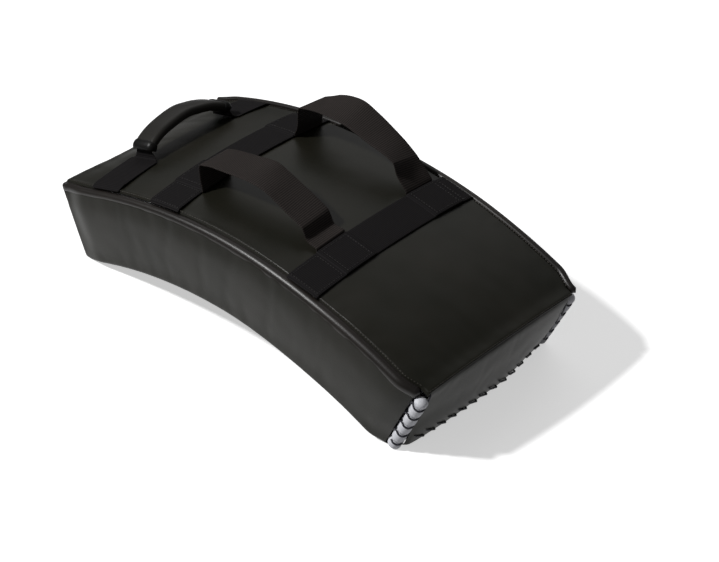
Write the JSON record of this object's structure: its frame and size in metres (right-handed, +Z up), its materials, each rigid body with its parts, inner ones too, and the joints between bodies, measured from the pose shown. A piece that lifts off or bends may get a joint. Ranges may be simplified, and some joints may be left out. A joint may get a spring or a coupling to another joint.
{
  "type": "curved strike shield",
  "caption": "Curved padded strike shield for kicking and punching practice: laced end cover, webbing bands, arm straps and a padded carry handle on the convex back.",
  "frame": {"origin": "bottom centre of the bounding box, on the surface that the shield lies on", "axes": "+Z up out of the convex back, Y along the shield with the closed end and its carry handle at +Y and the laced end at -Y, X across it"},
  "size_m": [0.3092, 0.6174, 0.2225],
  "materials": {
    "cover_leather": "black grained vinyl faux leather, satin",
    "webbing": "black ribbed polypropylene webbing, matte",
    "lace_cord": "black braided lace, matte",
    "white_lining": "white coated lining fabric, matte",
    "firm_foam": "firm closed-cell foam, matte",
    "core_foam": "laminated foam, matte",
    "soft_foam": "soft open-cell foam, matte"
  },
  "bodies": {
    "cover": {"back_panel": "cover_leather", "strike_panel": "cover_leather", "left_side_panel": "cover_leather", "right_side_panel": "cover_leather", "closed_end_panel": "cover_leather", "lacing_flap": "cover_leather", "left_back_welt": "cover_leather", "right_back_welt": "cover_leather", "left_corner_roll": "white_lining", "right_corner_roll": "white_lining", "strike_edge_roll": "white_lining", "left_corner_lace": "lace_cord", "right_corner_lace": "lace_cord", "strike_edge_lace": "lace_cord", "liner_bag": "white_lining", "back_foam": "firm_foam", "core_foam": "core_foam", "strike_foam": "soft_foam", "handle_left_band": "webbing", "handle_right_band": "webbing", "upper_strap_band": "webbing", "lower_strap_band": "webbing", "left_strap_upper_tail": "webbing", "left_strap_lower_tail": "webbing", "right_strap_upper_tail": "webbing", "right_strap_lower_tail": "webbing", "handle_left_tail": "webbing", "handle_right_tail": "webbing"},
    "left_strap": {"left_arm_strap": "webbing"},
    "right_strap": {"right_arm_strap": "webbing"},
    "handle": {"handle_webbing": "webbing", "handle_grip_sleeve": "cover_leather", "handle_grip_core": "soft_foam", "handle_left_collar": "cover_leather", "handle_right_collar": "cover_leather"}
  },
  "joints": [
    {"name": "left_strap_lean", "type": "hinge", "parent": "cover", "child": "left_strap", "pos_m": [-0.066, 0.01626, 0.17845], "axis": [0, 0.9993, -0.0364], "range_deg": [-20, 20], "stiffness_Nm_per_rad": 0.05},
    {"name": "right_strap_lean", "type": "hinge", "parent": "cover", "child": "right_strap", "pos_m": [0.097, 0.01616, 0.17583], "axis": [0, 0.9993, -0.0364], "range_deg": [-20, 20], "stiffness_Nm_per_rad": 0.05},
    {"name": "handle_lean", "type": "hinge", "parent": "cover", "child": "handle", "pos_m": [0.00754, 0.23954, 0.13692], "axis": [1, -0.0021, -0.0061], "range_deg": [-15, 15], "stiffness_Nm_per_rad": 0.4}
  ]
}
